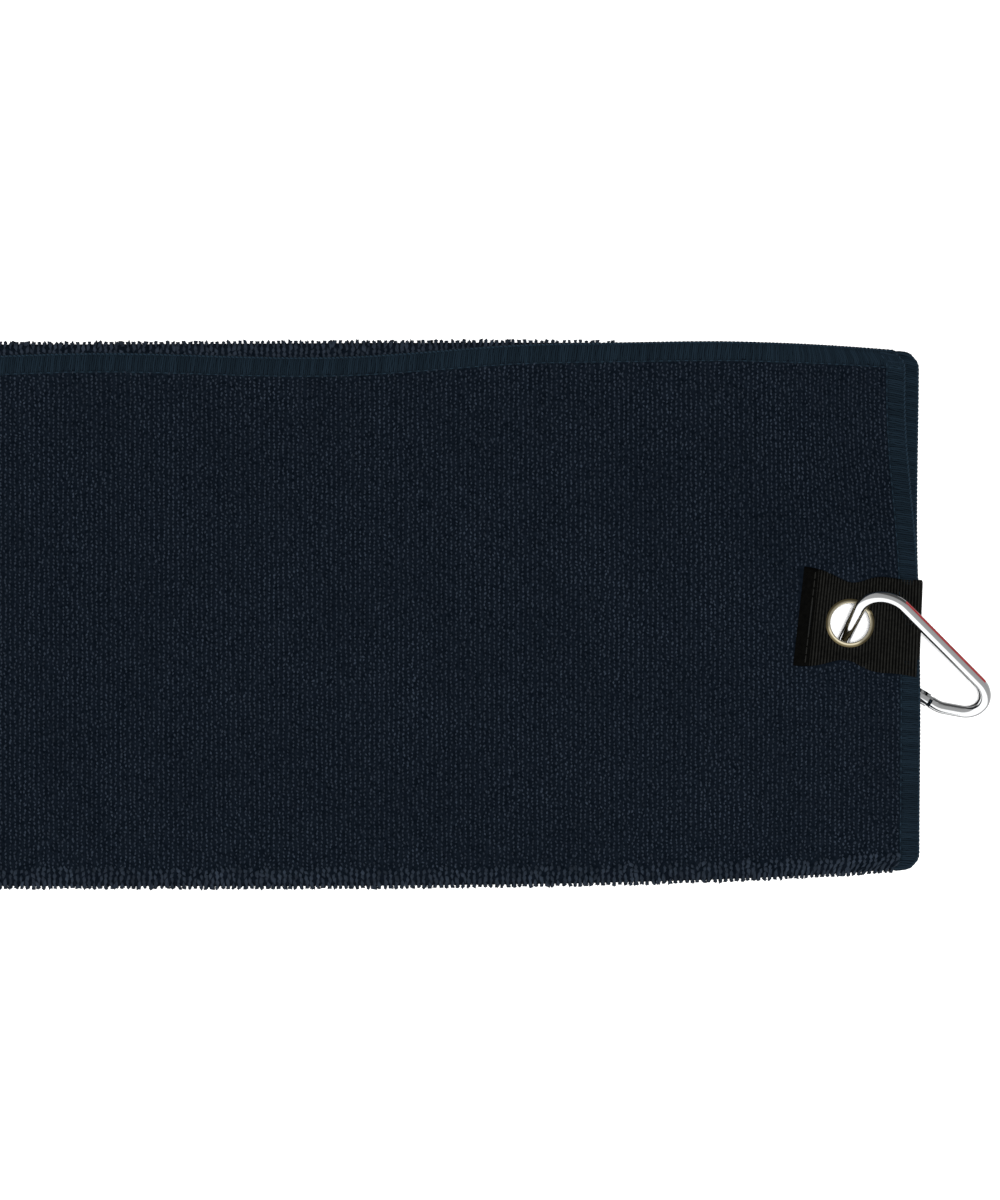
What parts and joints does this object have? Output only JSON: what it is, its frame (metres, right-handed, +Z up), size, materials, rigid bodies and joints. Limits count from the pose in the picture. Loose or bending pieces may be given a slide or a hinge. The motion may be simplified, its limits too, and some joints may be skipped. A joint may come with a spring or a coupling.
{
  "type": "golf towel",
  "caption": "Tri-fold terry golf towel with overlocked edges, a ribbon tab with a metal eyelet at one end, and a small snap carabiner through the eyelet.",
  "frame": {"origin": "middle of the whole object's footprint, on the surface that it lies on", "axes": "+X along the folded towel towards the eyelet and carabiner, +Y across it towards the top flap's free edge, +Z up out of the surface"},
  "size_m": [0.6282, 0.136, 0.0175],
  "materials": {
    "terry": "looped microfibre terry",
    "overlock_thread": "overlocked textured thread",
    "ribbon": "ribbed grosgrain",
    "ribbon_thread": "spun polyester thread",
    "eyelet_metal": "warm nickel plate",
    "polished_aluminium": "polished",
    "red_enamel": "gloss enamel fill",
    "pin_steel": "ground",
    "plunger_brass": "turned",
    "spring_steel": "drawn wire"
  },
  "bodies": {
    "towel": {"towel_cloth": "terry", "overlock_top_flap": "overlock_thread", "overlock_inner_flap": "overlock_thread", "overlock_clip_end": "overlock_thread", "overlock_plain_end": "overlock_thread", "ribbon_tab": "ribbon", "ribbon_stitches": "ribbon_thread", "grommet": "eyelet_metal", "grommet_washer": "eyelet_metal"},
    "carabiner": {"carabiner_frame": "polished_aluminium", "spine_stripe": "red_enamel"},
    "gate": {"gate_sleeve": "polished_aluminium", "gate_pivot_pin": "pin_steel", "gate_latch_pin": "pin_steel", "gate_spring": "spring_steel"},
    "plunger": {"gate_plunger": "plunger_brass"}
  },
  "joints": [
    {"name": "carabiner_roll", "type": "hinge", "parent": "towel", "child": "carabiner", "pos_m": [0.27871, -0.002, 0.00902], "axis": [0.9178, -0.3971, 0], "range_deg": [0, 90]},
    {"name": "gate_hinge", "type": "hinge", "parent": "carabiner", "child": "gate", "pos_m": [0.2814, -0.0112, 0.00366], "axis": [-0.2334, -0.5394, 0.809], "range_deg": [0, 13], "stiffness_Nm_per_rad": 0.09, "springref_deg": -25.21},
    {"name": "plunger_slide", "type": "slide", "parent": "gate", "child": "plunger", "axis": [0.8551, -0.5101, -0.0934], "range_m": [0, 0.0003]}
  ],
  "couplings": [
    {"joint": "plunger_slide", "follows": "gate_hinge", "m_per_rad": 0.001}
  ]
}
